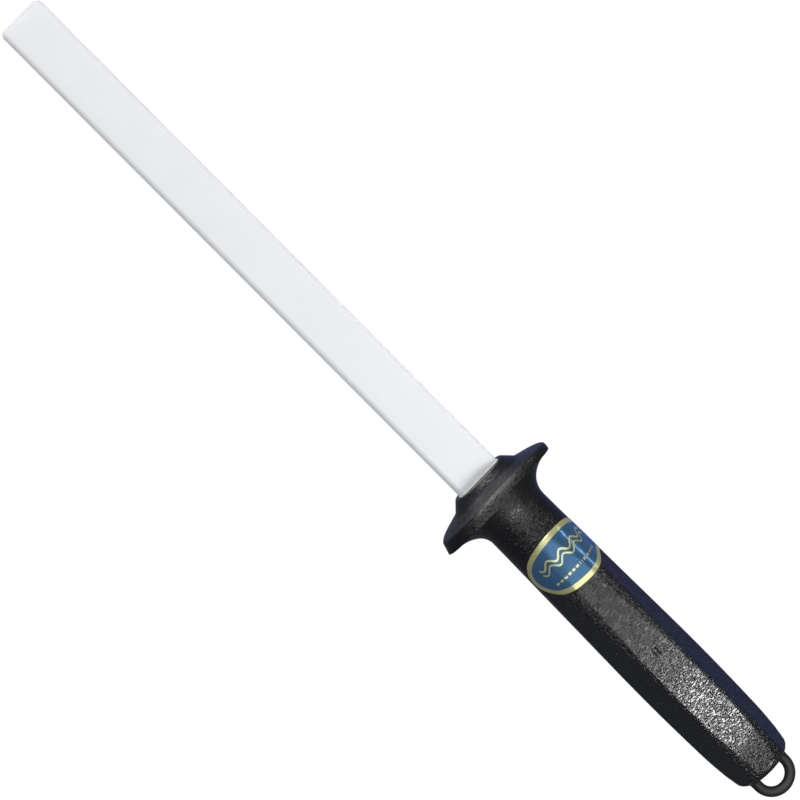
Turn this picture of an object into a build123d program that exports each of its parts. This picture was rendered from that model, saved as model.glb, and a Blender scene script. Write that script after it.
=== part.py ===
from build123d import *

import os
from math import cos, degrees, radians, sin

# A flat ceramic sharpening rod in a moulded handle with an oval guard. All sizes are in millimetres.
# The parts are drawn about the long axis, with X = 0 at the handle's mouth, the rod towards -X and
# the hanging loop towards +X. They are then moved so that the origin is at the bottom centre of the
# whole object, with the rod's broad faces up and down.

# Ceramic rod: a bar of rounded rectangular section
ROD_EXPOSED = 225.7
ROD_WIDTH = 18.0
ROD_THICKNESS = 7.0
ROD_EDGE_RADIUS = 2.0
ROD_TIP_CORNER_RADIUS = 2.3
TANG_LENGTH = 60.0

# Adhesive bed between the tang and its socket
BED_THICKNESS = 0.25
BED_DEPTH_BEHIND_TANG = 0.5
BEAD_WIDTH = 0.35
BEAD_HEIGHT = 0.3

# Handle, from the mouth to the butt
HANDLE_LENGTH = 145.9
MOUTH_HALF_WIDTH = 11.2
MOUTH_HALF_DEPTH = 9.2
BOSS_X = 4.4
BOSS_HALF_WIDTH = 15.3
BOSS_HALF_DEPTH = 11.8
GUARD_RIDGE_X = 7.2
GUARD_RIDGE_HALF_WIDTH = 24.7
GUARD_HALF_DEPTH = 15.6
GUARD_LAND_X = 8.2
GUARD_LAND_HALF_WIDTH = 25.3
GUARD_BACK_X = 11.3
GUARD_HALF_WIDTH = 26.4
GUARD_BACK_HALF_DEPTH = 13.9
NECK_X = 20.3
NECK_RADIUS = 12.45
FLARE_SECTIONS = 7
MOUTH_FILLET = 0.5
RIDGE_FILLET = 0.3
GUARD_BACK_FILLET = 0.5

# Grip: a barrel of revolution with six shallow facets, each a little hollow at the neck
BARREL_PROFILE = ((62.0, 13.1), (98.0, 13.63), (126.2, 13.15), (137.0, 12.4), (143.0, 11.5))
BARREL_END_SLOPE = -0.19
FACET_PROFILE = ((18.0, 13.9), (30.3, 12.6), (44.4, 12.27), (75.7, 12.15), (101.9, 12.11),
                 (119.6, 11.86), (132.2, 11.47), (148.4, 11.1))
FACETS = 6
BUTT_ROUND_MIDDLE = (144.6, 10.45)
BUTT_FACE_RADIUS = 8.5

# Small slot-shaped gate mark on the upper facet
GATE_X = 85.8
GATE_LENGTH = 3.4
GATE_WIDTH = 1.7
GATE_DEPTH = 0.25
GATE_NUB_RADIUS = 0.45
GATE_NUB_HEIGHT = 0.2

# Hollow of the grip and the plug that closes it
BORE_RADIUS = 8.0
BORE_START_X = 66.0
PLUG_HEAD_THICKNESS = 2.4
PLUG_SPIGOT_LENGTH = 14.0
PLUG_WALL = 2.0

# Hanging loop on the plug: a half ring on two straight legs
LOOP_CENTRE_X = 148.7
LOOP_OUTER_RADIUS = 8.5
LOOP_INNER_RADIUS = 4.7
LOOP_THICKNESS = 4.0
LOOP_FILLET = 1.1

# Oval sticker around the neck
LABEL_THICKNESS = 0.12
LABEL_X = 39.9
LABEL_LENGTH = 21.8
LABEL_GIRTH = 39.6
LABEL_TURN = 12.0
LABEL_WRAP_RADIUS = 12.7
LABEL_CUTTER_DEPTH = 2.4
LABEL_SECTIONS = 20
LABEL_LAST_PLACE = 88.0

OVERALL_LENGTH = ROD_EXPOSED + LOOP_CENTRE_X + LOOP_OUTER_RADIUS
TO_ROW = Location((ROD_EXPOSED - OVERALL_LENGTH / 2, 0, GUARD_HALF_DEPTH))


def bar(start, end, grow=0.0):
    """A straight length of the rod's section between two X positions, its sides moved out by grow."""
    section = RectangleRounded(
        ROD_WIDTH + 2 * grow, ROD_THICKNESS + 2 * grow, ROD_EDGE_RADIUS + grow
    )
    return extrude(Plane.YZ.offset(start) * section, amount=end - start)


def ellipse_at(x, half_width, half_depth):
    return Plane.YZ.offset(x) * Ellipse(half_width, half_depth)


def ceramic_rod():
    blank = Box(ROD_EXPOSED + TANG_LENGTH, ROD_WIDTH, ROD_THICKNESS)
    blank = Pos((TANG_LENGTH - ROD_EXPOSED) / 2, 0, 0) * blank
    corners = blank.edges().filter_by(Axis.Z).group_by(Axis.X)[0]
    blank = fillet(corners, ROD_TIP_CORNER_RADIUS)
    tang_end = blank.faces().sort_by(Axis.X)[-1].edges()
    lower_rim = blank.faces().sort_by(Axis.Z)[0].edges()
    upper_rim = blank.faces().sort_by(Axis.Z)[-1].edges()
    rims = [edge for edge in [*lower_rim, *upper_rim] if edge not in tang_end]
    return fillet(rims, ROD_EDGE_RADIUS)


def guard():
    """Boss, flange and flare: oval sections, straight in front and a quarter ellipse behind."""
    front = [
        ellipse_at(0, MOUTH_HALF_WIDTH, MOUTH_HALF_DEPTH),
        ellipse_at(BOSS_X, BOSS_HALF_WIDTH, BOSS_HALF_DEPTH),
        ellipse_at(GUARD_RIDGE_X, GUARD_RIDGE_HALF_WIDTH, GUARD_HALF_DEPTH),
        ellipse_at(GUARD_LAND_X, GUARD_LAND_HALF_WIDTH, GUARD_HALF_DEPTH),
        ellipse_at(GUARD_BACK_X, GUARD_HALF_WIDTH, GUARD_BACK_HALF_DEPTH),
    ]
    behind = []
    for i in range(FLARE_SECTIONS + 1):
        turn = radians(90 * (1 - i / FLARE_SECTIONS))
        rise = 1 - cos(turn)
        behind.append(ellipse_at(
            NECK_X - (NECK_X - GUARD_BACK_X) * sin(turn),
            NECK_RADIUS + (GUARD_HALF_WIDTH - NECK_RADIUS) * rise,
            NECK_RADIUS + (GUARD_BACK_HALF_DEPTH - NECK_RADIUS) * rise,
        ))
    body = loft(front, ruled=True) + loft(behind)
    edge_fillets = ((GUARD_BACK_X, GUARD_BACK_FILLET), (GUARD_LAND_X, RIDGE_FILLET),
                    (GUARD_RIDGE_X, RIDGE_FILLET), (0, MOUTH_FILLET))
    for x, radius in edge_fillets:
        ovals = body.edges().filter_by(GeomType.ELLIPSE).filter_by_position(Axis.X, x - 0.1, x + 0.1)
        body = fillet(ovals, radius)
    return body


def barrel(grow=0.0):
    """The grip as a body of revolution, from the neck to the rounded edge of its end face."""
    start = (NECK_X, NECK_RADIUS + grow)
    points = [start, *((x, r + grow) for x, r in BARREL_PROFILE)]
    side = Spline(*points, tangents=[(1, 0), (1, BARREL_END_SLOPE)])
    round_x, round_radius = BUTT_ROUND_MIDDLE
    face_edge = (HANDLE_LENGTH, BUTT_FACE_RADIUS + grow)
    butt = ThreePointArc(points[-1], (round_x, round_radius + grow), face_edge)
    rest = Polyline(face_edge, (HANDLE_LENGTH, 0), (NECK_X, 0), start)
    return revolve(Plane.XZ * make_face([side, butt, rest]), Axis.X)


def facet_slab(turn, grow=0.0):
    """The space between two opposite facets. turn is the angle of their normals about X."""
    upper = [(x, height + grow) for x, height in FACET_PROFILE]
    lower = [(x, -height) for x, height in upper]
    ends = [Line(upper[0], lower[0]), Line(upper[-1], lower[-1])]
    face = make_face([Spline(*upper), Spline(*lower), *ends])
    slab = extrude(Plane.XZ * face, amount=2 * GUARD_HALF_DEPTH, both=True)
    return Rot(turn, 0, 0) * slab


def grip(grow=0.0):
    body = barrel(grow)
    for i in range(FACETS // 2):
        body = body & facet_slab(360 / FACETS * i, grow)
    return body


def gate_mark():
    """The recess of the gate mark and the torn nub that stands in it, as two solids."""
    facet_height = FACET_PROFILE[3][1]
    floor = facet_height - GATE_DEPTH
    recess = Pos(GATE_X, 0, floor) * extrude(SlotOverall(GATE_LENGTH, GATE_WIDTH), amount=1)
    nub = Pos(GATE_X, 0, floor - 1) * Cylinder(
        GATE_NUB_RADIUS, 1 + GATE_NUB_HEIGHT, align=(Align.CENTER, Align.CENTER, Align.MIN)
    )
    return recess, nub


def handle_body():
    body = guard() + grip()
    socket = bar(0, TANG_LENGTH + BED_DEPTH_BEHIND_TANG, BED_THICKNESS)
    bore = Pos(BORE_START_X, 0, 0) * Rot(0, 90, 0) * Cylinder(
        BORE_RADIUS, HANDLE_LENGTH - BORE_START_X, align=(Align.CENTER, Align.CENTER, Align.MIN)
    )
    recess, nub = gate_mark()
    return body - socket - bore - recess + nub


def tang_adhesive():
    """The bed that fills the socket around the tang, with a bevelled bead at the mouth."""
    bed = bar(0, TANG_LENGTH + BED_DEPTH_BEHIND_TANG, BED_THICKNESS)
    bead_sections = [
        Plane.YZ.offset(x) * RectangleRounded(
            ROD_WIDTH + 2 * grow, ROD_THICKNESS + 2 * grow, ROD_EDGE_RADIUS + grow
        )
        for x, grow in ((-BEAD_HEIGHT, BEAD_WIDTH / 4), (0, BEAD_WIDTH))
    ]
    return bed + loft(bead_sections, ruled=True) - bar(-2 * BEAD_HEIGHT, TANG_LENGTH)


def end_plug():
    """The hollow spigot that closes the bore, with the hanging loop standing on it."""
    spigot_start = HANDLE_LENGTH - PLUG_SPIGOT_LENGTH
    along_x = Plane.YZ.offset(spigot_start)
    spigot = extrude(along_x * Circle(BORE_RADIUS), amount=PLUG_SPIGOT_LENGTH)
    hollow = extrude(
        along_x * Circle(BORE_RADIUS - PLUG_WALL), amount=PLUG_SPIGOT_LENGTH - PLUG_HEAD_THICKNESS
    )
    leg_start = HANDLE_LENGTH
    leg_length = LOOP_CENTRE_X - leg_start
    outline = Pos(LOOP_CENTRE_X, 0) * Circle(LOOP_OUTER_RADIUS)
    outline += Pos(leg_start + leg_length / 2, 0) * Rectangle(leg_length, 2 * LOOP_OUTER_RADIUS)
    eye = Pos(LOOP_CENTRE_X, 0) * Circle(LOOP_INNER_RADIUS)
    eye += Pos(leg_start + leg_length / 2, 0) * Rectangle(leg_length, 2 * LOOP_INNER_RADIUS)
    keep = Pos(leg_start + LOOP_OUTER_RADIUS, 0) * Rectangle(
        2 * LOOP_OUTER_RADIUS, 4 * LOOP_OUTER_RADIUS
    )
    flat = (outline - eye) & keep
    loop = extrude(Pos(0, 0, -LOOP_THICKNESS / 2) * flat, amount=LOOP_THICKNESS)
    rims = [*loop.faces().sort_by(Axis.Z)[0].edges(), *loop.faces().sort_by(Axis.Z)[-1].edges()]
    root = loop.faces().sort_by(Axis.X)[0].edges()
    loop = fillet([edge for edge in rims if edge not in root], LOOP_FILLET)
    return spigot - hollow + loop


def label():
    """The sticker: a thin skin on the grip, cut to an oval that is wrapped around the neck.

    The cutter is lofted through radial rectangles, closest together where the oval narrows.
    """
    half_angle = degrees(LABEL_GIRTH / 2 / LABEL_WRAP_RADIUS)
    sections = []
    for i in range(LABEL_SECTIONS + 1):
        place = LABEL_LAST_PLACE * (2 * i / LABEL_SECTIONS - 1)
        turn = radians(LABEL_TURN + half_angle * sin(radians(place)))
        radial = Plane(
            origin=(LABEL_X, 0, 0), x_dir=(1, 0, 0), z_dir=(0, -cos(turn), sin(turn))
        )
        rectangle = Rectangle(LABEL_LENGTH * cos(radians(place)), LABEL_CUTTER_DEPTH)
        sections.append(radial * Pos(0, LABEL_WRAP_RADIUS) * rectangle)
    return (grip(LABEL_THICKNESS) - grip()) & loft(sections)


PARTS = {
    "ceramic_rod": ceramic_rod,
    "tang_adhesive": tang_adhesive,
    "handle_body": handle_body,
    "end_plug": end_plug,
    "label": label,
}

os.makedirs("parts", exist_ok=True)
for name, make in PARTS.items():
    export_step(TO_ROW * make(), f"parts/{name}.step")
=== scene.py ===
from math import acos, ceil, cos, pi, radians, sin, sqrt, tan

import bpy
from mathutils import Matrix, Vector


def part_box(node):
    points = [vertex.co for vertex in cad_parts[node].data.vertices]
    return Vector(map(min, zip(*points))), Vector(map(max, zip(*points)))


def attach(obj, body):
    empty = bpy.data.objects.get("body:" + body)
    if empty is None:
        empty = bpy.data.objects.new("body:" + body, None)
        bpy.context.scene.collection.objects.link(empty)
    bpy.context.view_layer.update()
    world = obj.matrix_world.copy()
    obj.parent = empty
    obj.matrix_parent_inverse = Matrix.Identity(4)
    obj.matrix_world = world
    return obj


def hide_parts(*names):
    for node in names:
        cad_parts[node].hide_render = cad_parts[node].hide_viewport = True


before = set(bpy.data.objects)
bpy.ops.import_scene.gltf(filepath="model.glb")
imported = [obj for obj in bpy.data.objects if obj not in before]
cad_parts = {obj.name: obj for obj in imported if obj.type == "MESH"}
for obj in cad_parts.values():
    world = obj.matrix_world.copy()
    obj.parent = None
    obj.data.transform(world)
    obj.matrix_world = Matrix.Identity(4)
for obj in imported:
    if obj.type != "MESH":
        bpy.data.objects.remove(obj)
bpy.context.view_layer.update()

# All sizes are in metres. The pieces are drawn about the long axis, with x = 0 at the handle's
# mouth, the rod towards -x and the loop towards +x. place() moves a point to where the frame has
# the handle.
handle_low, handle_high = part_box("handle_body")
rod_low, rod_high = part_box("ceramic_rod")
plug_low, plug_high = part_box("end_plug")
label_low, label_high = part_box("label")
MOUTH = Vector((handle_low.x, 0, (rod_low.z + rod_high.z) / 2))

# Ceramic rod. The bevel of its broad faces is a list of (distance from the tip, how far the face is
# sunk there, reach of the corner's round).
TIP_X = rod_low.x - MOUTH.x
ROD_HALF_WIDTH = (rod_high.y - rod_low.y) / 2
ROD_HALF_DEPTH = (rod_high.z - rod_low.z) / 2
ROD_EDGE_RADIUS = 0.0020
TIP_CORNER_RADIUS = 0.0023
TIP_BEVEL = (
    (0.0, 0.0014, 0.0), (0.0005, 0.00052, 0.0006), (0.0016, 0.0, 0.0004), (1.0, 0.0, 0.0)
)
ROD_SUNK = 0.004
ROD_RING_STEP = 0.01
ROD_END_BAND = 0.0005
SOCKET_GAP = 0.00025

# Bead of resin around the rod at the mouth: (x, how far it stands out from the rod)
BEAD_OUTLINE = (
    (0.001, 0.0), (-0.00030, 0.0), (-0.00024, 0.00008), (-0.00010, 0.00020), (0.0, 0.00032),
    (0.00005, 0.00024), (0.001, 0.00024)
)

# Boss, wings and flare. An outline is a list of (x, distance from the axis, reach of the corner's
# round). The wings are cut off bluntly on the +y side, and run out to a point on the -y side.
GUARD_HALF_WIDTH = handle_high.y
RIDGE_X = 0.0072
RIDGE_DEPTH = MOUTH.z - handle_low.z
RIDGE_BOW = 0.00195
NECK_X = 0.0203
NECK_RADIUS = 0.01245
FLARE_POWER = 1.08
BOSS_SIDE = ((0.0, 0.0108, 0.0), (0.0001, 0.0112, 0.0001), (0.0044, 0.0153, 0.0008))
BLUNT_SIDE = (
    *BOSS_SIDE, (RIDGE_X, 0.0247, 0.0012), (0.0082, 0.0252, 0.0008), (0.0102, 0.0249, 0.0003)
)
POINTED_SIDE = (
    *BOSS_SIDE, (RIDGE_X, 0.0247, 0.0010), (0.0116, GUARD_HALF_WIDTH - 0.0001, 0.0002)
)
GUARD_DEPTH = (
    (0.0, 0.0088, 0.0), (0.0001, 0.0092, 0.0001), (0.0044, 0.0115, 0.0022),
    (RIDGE_X, RIDGE_DEPTH + 0.00020, 0.0009), (0.0158, 0.01262, 0.0030), (NECK_X, NECK_RADIUS, 0.0)
)
GUARD_DEPTH_STEPS = 8
GUARD_FINE_END = 0.0124
GUARD_STEP = 0.0001
FLARE_STEP = 0.0005

# Grip: a barrel with six facets
HANDLE_LENGTH = handle_high.x - handle_low.x
BARREL = ((NECK_X, NECK_RADIUS), (0.0300, 0.01257), (0.0620, 0.0131), (0.0980, 0.01363),
          (0.1262, 0.01315), (0.1370, 0.0124), (0.1430, 0.0115))
FACET_HEIGHTS = ((0.0180, 0.0139), (0.0303, 0.0126), (0.0444, 0.01227), (0.0757, 0.01215),
                 (0.1019, 0.01211), (0.1196, 0.01188), (0.1260, 0.01186), (0.1322, 0.01172),
                 (0.1380, 0.01136), (0.1420, 0.01098), (0.1484, 0.0101))
FACETS = 6
LEAST_FACET_TURN = radians(12)
MOST_FACET_TURN = radians(28.6)
EDGE_SHARPNESS = 400
BUTT_ROUND_MIDDLE = (0.1446, 0.01045)
BUTT_FACE_RADIUS = 0.0085
BUTT_STEPS = 12
GRIP_STEP = 0.0012
UPPER_FACET_COLUMNS = 28
FACET_COLUMNS = 14
FACET_EDGE_SHARE = 0.965
BORE_RADIUS = (plug_high.z - plug_low.z) / 2
SEAM_GAP = 0.00012
SEAM_DEPTH = 0.0005

# Gate mark: a slot with a torn nub on the upper facet
GATE_X = 0.0858
GATE_HALF_LENGTH = 0.0017
GATE_HALF_WIDTH = 0.00085
GATE_DEPTH = 0.00060
GATE_SOFTNESS = 0.00025
NUB_RADIUS = 0.00045
NUB_HEIGHT = 0.00045
GATE_MESH_REACH = 0.0024
GATE_MESH_STEP = 0.00012

# Hanging loop
LOOP_OUTER_RADIUS = (plug_high.y - plug_low.y) / 2
LOOP_CENTRE_X = plug_high.x - MOUTH.x - LOOP_OUTER_RADIUS
LOOP_INNER_RADIUS = 0.0047
LOOP_HALF_THICKNESS = 0.0020
LOOP_EDGE_RADIUS = 0.0018
LOOP_SUNK = 0.0012
LOOP_STEP = 0.0006
LOOP_BEND_STEPS = 48
LOOP_ROOT_LENGTH = 0.0012
LOOP_ROOT_GROWTH = 0.0004

# Sticker: an oval bent around the neck, with a gold rim and line ornament
LABEL_X = (label_low.x + label_high.x) / 2 - MOUTH.x
LABEL_HALF_LENGTH = (label_high.x - label_low.x) / 2
LABEL_HALF_GIRTH = 0.0198
LABEL_TURN = radians(12)
LABEL_WRAP_RADIUS = 0.0127
LABEL_THICKNESS = 0.00012
LABEL_RIM = 0.0020
LABEL_EDGE_ROUND = 0.00004
LABEL_TUCK = 0.00002
INK_THICKNESS = 0.00003

# The ornament: waves as (place across the sticker, half width), and a row of dashes
WAVES = ((-0.0031, 0.00036), (-0.0010, 0.00030))
WAVE_HEIGHT = 0.0011
WAVE_LENGTH = 0.0062
WAVE_COUNT = 4
WAVE_STEPS = 24
DASH_COUNT = 12
DASH_PITCH = 0.0019
DASH_PLACE = 0.0046
DASH_HALF_LENGTH = 0.0006
DASH_HALF_WIDTH = 0.00045


def place(x, y, z):
    return Vector((MOUTH.x + x, MOUTH.y + y, MOUTH.z + z))


# ---------------------------------------------------------------- curves and sections

def along(curve, x):
    """The height at x of a smooth curve through the points, by cubic pieces."""
    last = len(curve) - 1
    i = 0
    while i < last - 1 and x > curve[i + 1][0]:
        i += 1
    (x0, y0), (x1, y1) = curve[i], curve[i + 1]
    width = x1 - x0
    slopes = []
    for j in (i, i + 1):
        before, after = curve[max(j - 1, 0)], curve[min(j + 1, last)]
        slopes.append((after[1] - before[1]) / (after[0] - before[0]) * width)
    t = min(max((x - x0) / width, 0.0), 1.0)
    return (
        y0 * (1 + 2 * t) * (1 - t) ** 2 + slopes[0] * t * (1 - t) ** 2
        + y1 * (3 - 2 * t) * t ** 2 - slopes[1] * (1 - t) * t ** 2
    )


def between(a, b, t):
    return tuple(p + (q - p) * t for p, q in zip(a, b))


def bezier(a, control, b, steps):
    """Points of a quadratic arc from a to b."""
    return [between(between(a, control, t / steps), between(control, b, t / steps), t / steps)
            for t in range(steps + 1)]


def rounded_path(corners, steps=5):
    """A path through corners given as (..., reach), each but the ends replaced by an arc."""
    points = [corners[0][:-1]]
    for before, corner, after in zip(corners, corners[1:], corners[2:]):
        ends = []
        for other in (before, after):
            length = sqrt(sum((p - q) ** 2 for p, q in zip(other[:-1], corner[:-1])))
            ends.append(between(corner[:-1], other[:-1], min(corner[-1] / length, 0.5)))
        points += bezier(ends[0], corner[:-1], ends[1], steps)
    return points + [corners[-1][:-1]]


def level(path, x):
    """The distance at x of a path of straight runs between (x, distance) points."""
    for (x0, y0), (x1, y1) in zip(path, path[1:]):
        if x0 <= x <= x1:
            return y0 + (y1 - y0) * (x - x0) / max(x1 - x0, 1e-9)
    return path[-1][1]


def full_turn(count, shift=0.0):
    """The turns of points spaced evenly around a ring."""
    return [2 * pi * (i + shift) / count for i in range(count)]


def sign(value):
    return 0 if abs(value) < 1e-9 else (1 if value > 0 else -1)


def rounded_rectangle(half_width, half_depth, radius, turn):
    """The point of a rounded rectangle whose outward normal has this turn from +z towards +y."""
    y = sign(sin(turn)) * (half_width - radius) + radius * sin(turn)
    z = sign(cos(turn)) * (half_depth - radius) + radius * cos(turn)
    return y, z


def rod_section(grow, turn):
    """The point at this turn of the rod's section, its sides moved out by grow."""
    return rounded_rectangle(
        ROD_HALF_WIDTH + grow, ROD_HALF_DEPTH + grow, ROD_EDGE_RADIUS + grow, turn
    )


def facet_turn(x):
    """Half of the angle that a facet takes up at x."""
    ratio = along(FACET_HEIGHTS, x) / along(BARREL, x)
    turn = acos(min(ratio, 1.0))
    return min(max(turn, LEAST_FACET_TURN), MOST_FACET_TURN)


def grip_radius(x, turn):
    """Distance of the grip's surface from the axis: the barrel cut by the nearest facet."""
    step = 2 * pi / FACETS
    from_facet = turn - step * round(turn / step)
    barrel = along(BARREL, x)
    facet = along(FACET_HEIGHTS, x) / cos(from_facet)
    return barrel * (1 + (barrel / facet) ** EDGE_SHARPNESS) ** (-1 / EDGE_SHARPNESS)


# ---------------------------------------------------------------- mesh making

def new_piece(name, points, faces, material, *nodes):
    """A smooth mesh piece that rides on the body and stands for the CAD nodes."""
    mesh = bpy.data.meshes.new(name)
    mesh.from_pydata(points, [], faces)
    mesh.validate()
    mesh.update()
    piece = bpy.data.objects.new(name, mesh)
    bpy.context.scene.collection.objects.link(piece)
    mesh.materials.append(material)
    for face in mesh.polygons:
        face.use_smooth = True
    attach(piece, "root")
    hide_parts(*nodes)
    return piece


def skin(rings, cap_first=False, cap_last=False):
    """Points and faces of a tube through closed rings of the same count, wound to face outward."""
    count = len(rings[0])
    points = [point for ring in rings for point in ring]
    faces = []
    for i in range(len(rings) - 1):
        for j in range(count):
            k = (j + 1) % count
            a, b = i * count, (i + 1) * count
            faces.append((a + j, b + j, b + k, a + k))
    if cap_first:
        faces.append(tuple(range(count)))
    if cap_last:
        faces.append(tuple(reversed(range(len(points) - count, len(points)))))
    return points, faces


def spread(start, end, step):
    """Places from start to end, about a step apart, without the last."""
    count = max(1, ceil(abs(end - start) / step))
    return [start + (end - start) * i / count for i in range(count)]


# ---------------------------------------------------------------- materials

def new_material(name, roughness, metallic=0.0):
    material = bpy.data.materials.new(name)
    material.use_nodes = True
    tree = material.node_tree
    shader = tree.nodes["Principled BSDF"]
    shader.inputs["Roughness"].default_value = roughness
    shader.inputs["Metallic"].default_value = metallic
    return material, tree, shader


def stretched_place(tree, stretch=(1.0, 1.0, 1.0)):
    """The piece's own coordinates, multiplied along each axis."""
    where = tree.nodes.new("ShaderNodeTexCoord")
    mapping = tree.nodes.new("ShaderNodeMapping")
    mapping.inputs["Scale"].default_value = stretch
    tree.links.new(where.outputs["Object"], mapping.inputs["Vector"])
    return mapping.outputs["Vector"]


def noise(tree, place_socket, size, detail=2.0, roughness=0.5):
    """Noise whose features are about this size in metres."""
    node = tree.nodes.new("ShaderNodeTexNoise")
    node.inputs["Scale"].default_value = 1 / size
    node.inputs["Detail"].default_value = detail
    node.inputs["Roughness"].default_value = roughness
    tree.links.new(place_socket, node.inputs["Vector"])
    return node.outputs["Fac"]


def ramp(tree, value, stops):
    """A colour ramp over the value, with stops as (place, colour)."""
    node = tree.nodes.new("ShaderNodeValToRGB")
    elements = node.color_ramp.elements
    while len(elements) < len(stops):
        elements.new(1.0)
    for element, (where, colour) in zip(elements, stops):
        element.position = where
        element.color = (*colour, 1.0)
    tree.links.new(value, node.inputs["Fac"])
    return node.outputs["Color"]


def grey(level):
    return (level, level, level)


def bump(tree, shader, height, distance):
    node = tree.nodes.new("ShaderNodeBump")
    node.inputs["Strength"].default_value = 1.0
    node.inputs["Distance"].default_value = distance
    tree.links.new(height, node.inputs["Height"])
    tree.links.new(node.outputs["Normal"], shader.inputs["Normal"])


def combined(tree, operation, first, second):
    """Two values added or multiplied."""
    node = tree.nodes.new("ShaderNodeMath")
    node.operation = operation
    tree.links.new(first, node.inputs[0])
    tree.links.new(second, node.inputs[1])
    return node.outputs["Value"]


def ceramic():
    """Fired alumina: matte, nearly white, with faint clouding and pores."""
    material, tree, shader = new_material("fired_ceramic", 0.62)
    where = stretched_place(tree)
    clouds = noise(tree, where, 0.012, detail=3.0)
    tone = ramp(tree, clouds, ((0.3, (0.780, 0.792, 0.818)), (0.7, (0.800, 0.806, 0.822))))
    tree.links.new(tone, shader.inputs["Base Color"])
    pores = noise(tree, where, 0.0006, detail=3.0, roughness=0.6)
    bump(tree, shader, pores, 0.000012)
    shader.inputs["Specular IOR Level"].default_value = 0.35
    return material


def grained_plastic():
    """Black moulded plastic with a spark-eroded grain, drawn out around the handle.

    On the guard the grain is fainter and the surface rougher, and the boss reflects most.
    """
    material, tree, shader = new_material("grained_black_plastic", 0.22)
    where = stretched_place(tree, (1.7, 0.7, 0.7))
    coarse = noise(tree, where, 0.0009, roughness=0.55)
    plateau = ramp(tree, coarse, ((0.42, grey(0.0)), (0.58, grey(1.0))))
    split = tree.nodes.new("ShaderNodeSeparateXYZ")
    tree.links.new(stretched_place(tree), split.inputs["Vector"])

    def along_handle(start, end, first, then):
        """A value that goes smoothly from first to then between two distances from the mouth."""
        node = tree.nodes.new("ShaderNodeMapRange")
        node.interpolation_type = "SMOOTHSTEP"
        for socket, value in (("From Min", MOUTH.x + start), ("From Max", MOUTH.x + end),
                              ("To Min", first), ("To Max", then)):
            node.inputs[socket].default_value = value
        tree.links.new(split.outputs["X"], node.inputs["Value"])
        return node.outputs["Result"]

    height = combined(tree, "MULTIPLY", plateau, along_handle(0.008, 0.030, 0.12, 1.0))
    bump(tree, shader, height, 0.00020)
    tone = ramp(tree, coarse, ((0.35, grey(0.0040)), (0.7, grey(0.0085))))
    tree.links.new(tone, shader.inputs["Base Color"])
    polish = ramp(tree, coarse, ((0.37, grey(0.31)), (0.63, grey(0.15))))
    roughness = combined(tree, "MULTIPLY", polish, along_handle(0.009, 0.035, 1.45, 1.0))
    tree.links.new(roughness, shader.inputs["Roughness"])
    on_boss = along_handle(0.0055, 0.0085, 0.55, 0.27)
    on_grip = along_handle(0.022, 0.060, 0.0, 0.23)
    specular = combined(tree, "ADD", on_boss, on_grip)
    tree.links.new(specular, shader.inputs["Specular IOR Level"])
    return material


def satin_plastic():
    """The same black plastic from a finer tool surface, with faint flow clouding."""
    material, tree, shader = new_material("satin_black_plastic", 0.60)
    where = stretched_place(tree)
    fine = noise(tree, where, 0.0007)
    bump(tree, shader, fine, 0.000018)
    clouds = noise(tree, where, 0.004)
    tone = ramp(tree, clouds, ((0.3, grey(0.0090)), (0.7, grey(0.0115))))
    tree.links.new(tone, shader.inputs["Base Color"])
    shader.inputs["Specular IOR Level"].default_value = 0.25
    return material


def adhesive():
    """Cured resin with a slightly uneven surface."""
    material, tree, shader = new_material("cured_resin", 0.45)
    where = stretched_place(tree)
    uneven = noise(tree, where, 0.0015)
    tone = ramp(tree, uneven, ((0.3, (0.70, 0.70, 0.68)), (0.7, (0.80, 0.80, 0.78))))
    tree.links.new(tone, shader.inputs["Base Color"])
    bump(tree, shader, uneven, 0.0001)
    return material


def blue_foil():
    """Metallic blue print, lightly brushed along the handle."""
    material, tree, shader = new_material("blue_foil", 0.17, metallic=0.6)
    streaks = noise(tree, stretched_place(tree, (0.02, 1.0, 1.0)), 0.0005, detail=3.0)
    tone = ramp(tree, streaks, ((0.3, (0.052, 0.140, 0.27)), (0.7, (0.068, 0.175, 0.33))))
    tree.links.new(tone, shader.inputs["Base Color"])
    polish = ramp(tree, streaks, ((0.3, grey(0.14)), (0.7, grey(0.21))))
    tree.links.new(polish, shader.inputs["Roughness"])
    bump(tree, shader, streaks, 0.000004)
    return material


def gold_foil():
    """Pale gold print, its tone clouded by a fine noise."""
    material, tree, shader = new_material("gold_foil", 0.32, metallic=0.45)
    streaks = noise(tree, stretched_place(tree), 0.0009, detail=3.0)
    tone = ramp(tree, streaks, ((0.3, (0.35, 0.35, 0.15)), (0.7, (0.44, 0.44, 0.20))))
    tree.links.new(tone, shader.inputs["Base Color"])
    return material


# ---------------------------------------------------------------- pieces

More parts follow.
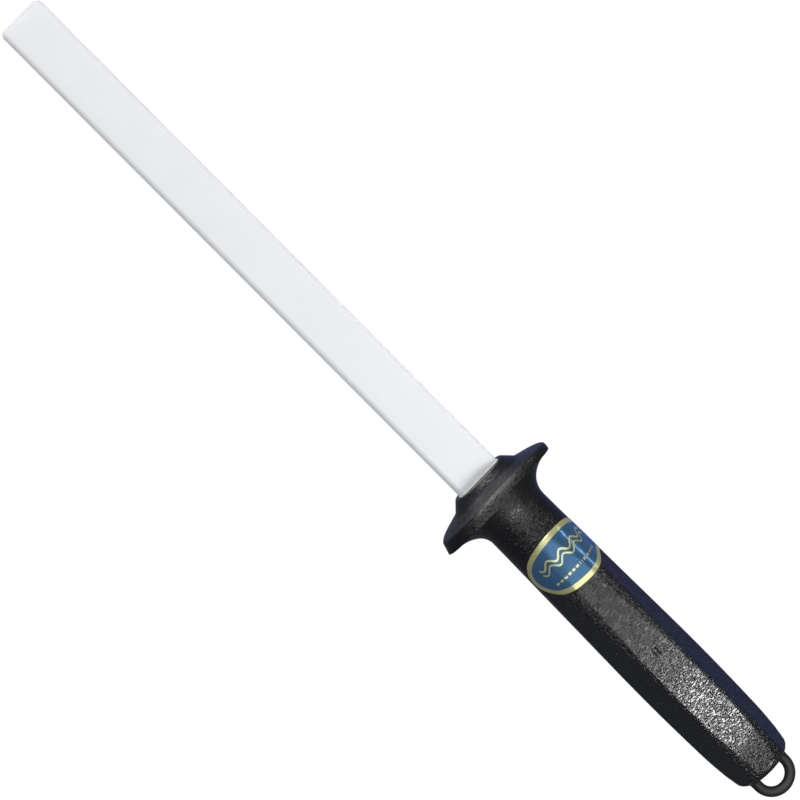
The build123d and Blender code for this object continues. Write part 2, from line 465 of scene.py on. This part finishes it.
def make_rod(material):
    """A bar of rounded section, whose width and depth round off towards the tip."""
    corner_turns = (0, 0.5, *range(9, 90, 9), 89.5)
    turns = [radians(side + turn) for side in (0, 90, 180, 270) for turn in corner_turns]

    def short_of(radius, from_tip):
        inside = max(radius - from_tip, 0.0)
        return radius - sqrt(radius ** 2 - inside ** 2)

    steps = [TIP_CORNER_RADIUS * (1 - cos(radians(90 * i / 16))) for i in range(17)]
    rings = []
    tip_bevel = rounded_path(TIP_BEVEL)
    hidden_end = ROD_SUNK - TIP_X
    # A ring close to the hidden end keeps its cap from darkening the smooth-shaded sides.
    last = hidden_end - ROD_END_BAND
    middle = spread(TIP_CORNER_RADIUS, last, ROD_RING_STEP)[1:]
    for from_tip in (*steps, *middle, last, hidden_end):
        half_width = ROD_HALF_WIDTH - short_of(TIP_CORNER_RADIUS, from_tip)
        bevel = level(tip_bevel, from_tip)
        half_depth = ROD_HALF_DEPTH - bevel
        radius = ROD_EDGE_RADIUS - 0.5 * bevel
        ring = []
        for turn in turns:
            y, z = rounded_rectangle(half_width, half_depth, radius, turn)
            ring.append(place(TIP_X + from_tip, y, z))
        rings.append(ring)
    points, faces = skin(rings, cap_first=True, cap_last=True)
    return new_piece("ceramic_bar", points, faces, material, "ceramic_rod")


def make_bead(material):
    """The thin fillet of resin that shows between the rod and the socket's mouth."""
    rings = []
    for x, grow in BEAD_OUTLINE:
        rings.append([place(x, *rod_section(grow, turn)) for turn in full_turn(96, 0.5)])
    points, faces = skin(rings)
    return new_piece("mouth_bead", points, faces, material, "tang_adhesive")


def handle_columns():
    """The mesh columns as (facet, on the facet, share), with close lines at each facet's edges."""
    columns = []
    for facet in range(FACETS):
        count = UPPER_FACET_COLUMNS if facet == 0 else FACET_COLUMNS
        flat = [-1 + 2 * i / count for i in range(1, count)]
        for share in [-1, -FACET_EDGE_SHARE, *flat, FACET_EDGE_SHARE]:
            columns.append((facet, True, share))
        for share in (0.0, 0.06, 0.25, 0.5, 0.75, 0.94):
            columns.append((facet, False, share))
    return columns


def column_turn(column, x):
    facet, on_facet, share = column
    step = 2 * pi / FACETS
    half = facet_turn(x)
    if on_facet:
        return facet * step + share * half
    return facet * step + half + share * (step - 2 * half)


def gate_height(x, y):
    """How far the upper facet stands proud or low at the gate mark."""
    along_slot = max(abs(x - GATE_X) - (GATE_HALF_LENGTH - GATE_HALF_WIDTH), 0.0)
    outside = sqrt(along_slot ** 2 + y ** 2) - GATE_HALF_WIDTH
    sunk = min(max(0.5 - outside / GATE_SOFTNESS, 0.0), 1.0)
    from_nub = sqrt((x - GATE_X) ** 2 + y ** 2) / NUB_RADIUS
    nub = min(max(1.5 - from_nub, 0.0), 1.0)
    return NUB_HEIGHT * nub - GATE_DEPTH * sunk


def flare(x, back_x, back_distance):
    """Distance from the axis behind the wings: a quarter of an oval, down to the neck."""
    share = (NECK_X - x) / (NECK_X - back_x)
    rise = (1 - sqrt(max(1 - share ** 2, 0.0))) ** FLARE_POWER
    return NECK_RADIUS + (back_distance - NECK_RADIUS) * rise


def guard_at(x):
    """The oval section at x. Each side has its own width, and the ridge bows towards the tip."""
    widths = []
    for corners in (BLUNT_SIDE, POINTED_SIDE):
        back_x, back_distance = corners[-1][:2]
        if x > back_x:
            widths.append(flare(x, back_x, back_distance))
        else:
            widths.append(level(rounded_path(corners), x))
    depth = level(rounded_path(GUARD_DEPTH, GUARD_DEPTH_STEPS), x)
    bow = RIDGE_BOW * (x / RIDGE_X if x < RIDGE_X else (NECK_X - x) / (NECK_X - RIDGE_X))

    def section(turn):
        half_width = widths[0] if sin(turn) > 0 else widths[1]
        return half_width * sin(turn), depth * cos(turn), x - bow * cos(turn) ** 2
    return section


def make_handle(material):
    columns = handle_columns()
    rings = []

    def add(x, section):
        ring = []
        for column in columns:
            y, z, *moved = section(column_turn(column, x))
            ring.append(place(moved[0] if moved else x, y, z))
        rings.append(ring)

    def socket(turn):
        return rod_section(SOCKET_GAP, turn)

    def circle(radius):
        return lambda turn: (radius * sin(turn), radius * cos(turn))

    add(ROD_SUNK, socket)
    add(0.0, socket)
    front = spread(0.0, GUARD_FINE_END, GUARD_STEP)
    behind = spread(GUARD_FINE_END, NECK_X, FLARE_STEP)
    for x in (*front, *behind, NECK_X):
        add(x, guard_at(x))

    def grip_at(x):
        def section(turn):
            radius = grip_radius(x, turn)
            y, z = radius * sin(turn), radius * cos(turn)
            if z > 0:
                z += gate_height(x, y)
            return y, z
        return section

    gate_start, gate_end = GATE_X - GATE_MESH_REACH, GATE_X + GATE_MESH_REACH
    side = BARREL[-1]
    grip_end = side[0]
    for x in (*spread(NECK_X, gate_start, GRIP_STEP)[1:],
              *spread(gate_start, gate_end, GATE_MESH_STEP),
              *spread(gate_end, grip_end, GRIP_STEP)):
        add(x, grip_at(x))

    face = (HANDLE_LENGTH, BUTT_FACE_RADIUS)
    control = tuple(2 * m - (s + f) / 2 for m, s, f in zip(BUTT_ROUND_MIDDLE, side, face))
    for x, barrel in bezier(side, control, face, BUTT_STEPS):
        def section(turn):
            radius = min(grip_radius(min(x, grip_end), turn), barrel)
            return radius * sin(turn), radius * cos(turn)
        add(x, section)
    add(HANDLE_LENGTH, circle(BORE_RADIUS + SEAM_GAP))
    add(HANDLE_LENGTH - SEAM_DEPTH, circle(BORE_RADIUS))
    points, faces = skin(rings)
    return new_piece("moulded_handle", points, faces, material, "handle_body")


def make_plug(material):
    """The round plug in the butt, a shallow dish with a rounded rim."""
    profile = [
        (HANDLE_LENGTH - 0.0020, BORE_RADIUS - 0.00005),
        (HANDLE_LENGTH - 0.0002, BORE_RADIUS - 0.00005),
        (HANDLE_LENGTH - 0.00005, BORE_RADIUS - 0.0001),
        (HANDLE_LENGTH, BORE_RADIUS - 0.0003),
        (HANDLE_LENGTH, BORE_RADIUS - 0.0010),
        (HANDLE_LENGTH - 0.0001, BORE_RADIUS - 0.0014),
        (HANDLE_LENGTH - 0.0001, BORE_RADIUS - 0.0050),
        (HANDLE_LENGTH - 0.0001, 0.0002),
    ]
    rings = []
    for x, radius in profile:
        rings.append([place(x, radius * sin(turn), radius * cos(turn)) for turn in full_turn(96)])
    points, faces = skin(rings, cap_first=True, cap_last=True)
    return new_piece("butt_plug", points, faces, material, "end_plug")


def make_loop(material):
    """A band of rounded section along two short legs, thicker at their roots, and a half circle."""
    middle_radius = (LOOP_OUTER_RADIUS + LOOP_INNER_RADIUS) / 2
    half_band = (LOOP_OUTER_RADIUS - LOOP_INNER_RADIUS) / 2
    start = HANDLE_LENGTH - LOOP_SUNK
    route = [(x, 90) for x in spread(start, LOOP_CENTRE_X, LOOP_STEP)]
    for i in range(LOOP_BEND_STEPS + 1):
        route.append((LOOP_CENTRE_X, 90 - 180 * i / LOOP_BEND_STEPS))
    route += [(x, -90) for x in spread(LOOP_CENTRE_X, start, LOOP_STEP)[1:]]
    route.append((start, -90))
    rings = []
    for x, angle in route:
        out_x, out_y = cos(radians(angle)), sin(radians(angle))
        root = max(0.0, 1 - (x - HANDLE_LENGTH) / LOOP_ROOT_LENGTH) ** 2 * LOOP_ROOT_GROWTH
        ring = []
        for turn in full_turn(40, 0.5):
            a, z = rounded_rectangle(
                half_band + root, LOOP_HALF_THICKNESS + root, LOOP_EDGE_RADIUS, turn
            )
            reach = middle_radius + a
            ring.append(place(x + reach * out_x, reach * out_y, z))
        rings.append(ring)
    points, faces = skin(rings, cap_first=True, cap_last=True)
    return new_piece("hanging_loop", points, faces, material, "end_plug")


def on_label(u, v, proud):
    """The place on the neck of a point of the flat sticker: u along the handle, v around it."""
    turn = LABEL_TURN + v / LABEL_WRAP_RADIUS
    radius = grip_radius(LABEL_X + u, turn) + proud
    return place(LABEL_X + u, radius * sin(turn), radius * cos(turn))


def make_sticker(blue, gold):
    """A polar grid, bent around the neck. Its rim is gold, and its edge turns down to the neck."""
    count = 120
    shares = [i / 10 for i in range(1, 11)]
    inner = (LABEL_HALF_LENGTH - LABEL_RIM, LABEL_HALF_GIRTH - LABEL_RIM)
    outer = (LABEL_HALF_LENGTH, LABEL_HALF_GIRTH)
    ovals = [(inner[0] * s, inner[1] * s, LABEL_THICKNESS) for s in shares]
    ovals += [(*between(inner, outer, i / 4), LABEL_THICKNESS) for i in range(1, 4)]
    ovals += [(outer[0] - LABEL_EDGE_ROUND, outer[1] - LABEL_EDGE_ROUND, LABEL_THICKNESS),
              (*outer, LABEL_THICKNESS * 0.6), (*outer, -LABEL_TUCK)]
    points = [on_label(0, 0, LABEL_THICKNESS)]
    for half_length, half_girth, proud in ovals:
        for turn in full_turn(count):
            points.append(on_label(half_length * sin(turn), half_girth * cos(turn), proud))
    faces = [(0, 1 + (j + 1) % count, 1 + j) for j in range(count)]
    for i in range(len(ovals) - 1):
        for j in range(count):
            k = (j + 1) % count
            a, b = 1 + i * count, 1 + (i + 1) * count
            faces.append((a + j, a + k, b + k, b + j))
    piece = new_piece("neck_sticker", points, faces, blue, "label")
    piece.data.materials.append(gold)
    rim_start = count + (len(shares) - 1) * count
    for face in piece.data.polygons:
        if face.index >= rim_start:
            face.material_index = 1
    return piece


def ribbon(points, route, half_width):
    """Adds a flat strip of ink along a route of (u, v), and returns its faces."""
    faces = []
    first = len(points)
    for i, (u, v) in enumerate(route):
        ahead, behind = route[min(i + 1, len(route) - 1)], route[max(i - 1, 0)]
        du, dv = ahead[0] - behind[0], ahead[1] - behind[1]
        length = sqrt(du ** 2 + dv ** 2)
        across = (-dv / length * half_width, du / length * half_width)
        for side in (1, -1):
            points.append(on_label(u + side * across[0], v + side * across[1],
                                   LABEL_THICKNESS + INK_THICKNESS))
    for i in range(len(route) - 1):
        a = first + 2 * i
        faces.append((a, a + 1, a + 3, a + 2))
    return faces


def make_ornament(material):
    """Printed line ornament: two waves side by side, and a row of dashes under them."""
    points, faces = [], []
    steps = WAVE_STEPS * WAVE_COUNT
    for wave_u, half_width in WAVES:
        route = []
        for i in range(steps + 1):
            v = WAVE_LENGTH * WAVE_COUNT * (i / steps - 0.5)
            route.append((wave_u + WAVE_HEIGHT * sin(2 * pi * v / WAVE_LENGTH), v))
        faces += ribbon(points, route, half_width)
    for i in range(DASH_COUNT):
        v = DASH_PITCH * (i - (DASH_COUNT - 1) / 2)
        route = [(DASH_PLACE, v - DASH_HALF_LENGTH), (DASH_PLACE, v + DASH_HALF_LENGTH)]
        faces += ribbon(points, route, DASH_HALF_WIDTH)
    return new_piece("sticker_ornament", points, faces, material, "label")


grip_material = grained_plastic()
plug_material = satin_plastic()
gold = gold_foil()
for piece, slot in (
    (make_rod(ceramic()), "ceramic"),
    (make_handle(grip_material), "grained_plastic"),
    (make_plug(plug_material), "plug_plastic"),
    (make_loop(plug_material), "plug_plastic"),
    (make_sticker(blue_foil(), gold), "foil"),
    (make_ornament(gold), "foil"),
    (make_bead(adhesive()), "adhesive"),
):
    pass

# ---------------------------------------------------------------- camera

CAMERA_DISTANCE = 1.930
CAMERA_LENS = 250.7
LEAN_TO_TIP = radians(9.0)
LEAN_TO_SIDE = radians(5.925)
PICTURE_TURN = radians(45.13)
AIM = (-0.038785, -0.00012, 0)
SENSOR_WIDTH = 36


def turned_to(x_axis, y_axis, z_axis):
    """The matrix of an object whose own axes point these ways."""
    return Matrix((x_axis, y_axis, z_axis)).transposed().to_4x4()


def make_camera():
    """Looks almost straight down on the bar, a little from its tip and from the pointed wing.

    The bar lies along the picture's diagonal.
    """
    back = Vector((-tan(LEAN_TO_TIP), -tan(LEAN_TO_SIDE), 1)).normalized()
    axis = Vector((1, 0, 0))
    tip_to_butt = (axis - back * back.x).normalized()
    across = tip_to_butt.cross(back)
    right = tip_to_butt * cos(PICTURE_TURN) - across * sin(PICTURE_TURN)
    up = -(tip_to_butt * sin(PICTURE_TURN) + across * cos(PICTURE_TURN))
    data = bpy.data.cameras.new("camera")
    data.sensor_width = SENSOR_WIDTH
    data.lens = CAMERA_LENS
    camera = bpy.data.objects.new("camera", data)
    bpy.context.scene.collection.objects.link(camera)
    camera.matrix_world = turned_to(right, up, back)
    camera.location = place(*AIM) + back * CAMERA_DISTANCE
    bpy.context.scene.camera = camera


# ---------------------------------------------------------------- floor and light

FLOOR_SIZE = 6.0
FLOOR_GAP = 0.0002
FLOOR_GLOW = 0.985


def make_floor():
    """A plane that the guard and the rod's tip rest on, so it leans by about three degrees.

    It glows, so that it looks almost white whatever the lamps do, and takes only faint shadows.
    """
    guard_x = place(RIDGE_X - RIDGE_BOW, 0, 0).x
    tip_x, tip_z = rod_low.x + TIP_CORNER_RADIUS, rod_low.z
    slope = (handle_low.z - tip_z) / (guard_x - tip_x)
    half = FLOOR_SIZE / 2
    points = []
    for x, y in ((-half, -half), (half, -half), (half, half), (-half, half)):
        points.append((x, y, handle_low.z + slope * (x - guard_x) - FLOOR_GAP))
    mesh = bpy.data.meshes.new("floor")
    mesh.from_pydata(points, [], [(0, 1, 2, 3)])
    floor = bpy.data.objects.new("floor", mesh)
    bpy.context.scene.collection.objects.link(floor)
    material, _, shader = new_material("pale_floor", 0.9)
    shader.inputs["Base Color"].default_value = (0.06, 0.06, 0.06, 1)
    shader.inputs["Specular IOR Level"].default_value = 0
    shader.inputs["Emission Color"].default_value = (1, 1, 1, 1)
    shader.inputs["Emission Strength"].default_value = FLOOR_GLOW
    mesh.materials.append(material)
    floor.visible_glossy = False


def softbox(name, middle, target, size, power, along_side=(1, 0, 0)):
    """A rectangular lamp that faces target, its first side as near to along_side as it goes."""
    data = bpy.data.lights.new(name, "AREA")
    data.shape = "RECTANGLE"
    data.size, data.size_y = size
    data.energy = power
    lamp = bpy.data.objects.new(name, data)
    bpy.context.scene.collection.objects.link(lamp)
    back = (Vector(middle) - Vector(target)).normalized()
    side = Vector(along_side)
    side = (side - back * side.dot(back)).normalized()
    up = back.cross(side)
    lamp.matrix_world = turned_to(side, up, back)
    lamp.location = middle
    lamp.visible_camera = False
    return lamp


POINTED_SIDE_GREY = (0.135, 0.148, 0.190)
BLUNT_SIDE_GREY = (0.115, 0.122, 0.130)
NAVY = (0.120, 0.152, 0.41)
PALE = (1.90, 1.95, 2.15)
FILL = (0.95, 0.98, 1.0)
FILL_STRENGTH = 0.19


def make_world():
    """White where seen directly, a dim fill for matte surfaces, and a dark room in reflections.

    The dark room is navy low down on the side of the blunt wing, pale beyond the rod's tip, and a
    dark grey elsewhere.
    """
    world = bpy.data.worlds.new("room")
    bpy.context.scene.world = world
    world.use_nodes = True
    tree = world.node_tree
    tree.nodes.clear()
    path = tree.nodes.new("ShaderNodeLightPath")
    where = tree.nodes.new("ShaderNodeTexCoord")

    def across(direction, low, high, stops):
        """A ramp between two values of how far the seen direction points along the given one."""
        dot = tree.nodes.new("ShaderNodeVectorMath")
        dot.operation = "DOT_PRODUCT"
        dot.inputs[1].default_value = direction
        tree.links.new(where.outputs["Generated"], dot.inputs[0])
        scaled = tree.nodes.new("ShaderNodeMapRange")
        scaled.inputs["From Min"].default_value = low
        scaled.inputs["From Max"].default_value = high
        tree.links.new(dot.outputs["Value"], scaled.inputs["Value"])
        return ramp(tree, scaled.outputs["Result"], stops)

    none_to_all = ((0.0, grey(0.0)), (1.0, grey(1.0)))
    neutral = across((0, 1, 0), -1, 1, ((0.0, POINTED_SIDE_GREY), (1.0, BLUNT_SIDE_GREY)))
    navy_share = across((0, 0.6, -0.8), 0.72, 0.98, none_to_all)
    pale_share = across((-0.97, 0, -0.24), 0.86, 0.98, none_to_all)

    def blend(share, colour, other):
        mix = tree.nodes.new("ShaderNodeMix")
        mix.data_type = "RGBA"
        mix.inputs["B"].default_value = (*other, 1)
        tree.links.new(share, mix.inputs["Factor"])
        tree.links.new(colour, mix.inputs["A"])
        return mix.outputs["Result"]

    dark_room = blend(navy_share, neutral, NAVY)
    dark_room = blend(pale_share, dark_room, PALE)
    out = tree.nodes.new("ShaderNodeOutputWorld")

    def background(strength, colour):
        node = tree.nodes.new("ShaderNodeBackground")
        node.inputs["Color"].default_value = (*colour, 1)
        node.inputs["Strength"].default_value = strength
        return node

    def choose(test, otherwise, chosen):
        mix = tree.nodes.new("ShaderNodeMixShader")
        tree.links.new(path.outputs[test], mix.inputs["Fac"])
        tree.links.new(otherwise.outputs[0], mix.inputs[1])
        tree.links.new(chosen.outputs[0], mix.inputs[2])
        return mix

    reflected = background(1.0, grey(0.0))
    tree.links.new(dark_room, reflected.inputs["Color"])
    room = choose("Is Glossy Ray", background(FILL_STRENGTH, FILL), reflected)
    seen = choose("Is Camera Ray", room, background(1.0, grey(1.0)))
    tree.links.new(seen.outputs[0], out.inputs["Surface"])


def make_lights():
    """Two soft lamps for matte surfaces, and three that only show in reflections."""
    rod_middle, grip_middle, grip_end = place(-0.10, 0, 0), place(0.08, 0, 0), place(0.12, 0, 0)
    y_axis = (0, 1, 0)
    matte = [
        softbox("tip_softbox", place(-0.95, 0.15, 1.05), rod_middle,
                size=(0.8, 0.8), power=12.6, along_side=y_axis),
        softbox("butt_softbox", place(0.25, 0.16, 0.45), rod_middle,
                size=(0.25, 0.25), power=1.6, along_side=y_axis),
    ]
    glossy = [
        softbox("ridge_glow", place(-0.74, 0.15, 1.02), rod_middle,
                size=(1.0, 0.36), power=30, along_side=y_axis),
        softbox("butt_strip", place(0.2195, 0.0, 0.40), grip_end, size=(0.055, 0.42), power=2.0),
        softbox("side_line", place(0.08, 0.50, 0.25), grip_middle,
                size=(0.40, 0.008), power=0.30),
    ]
    for lamp in matte:
        lamp.visible_glossy = False
    for lamp in glossy:
        lamp.visible_diffuse = False


make_camera()
make_floor()
make_world()
make_lights()
bpy.context.scene.view_settings.view_transform = "Standard"
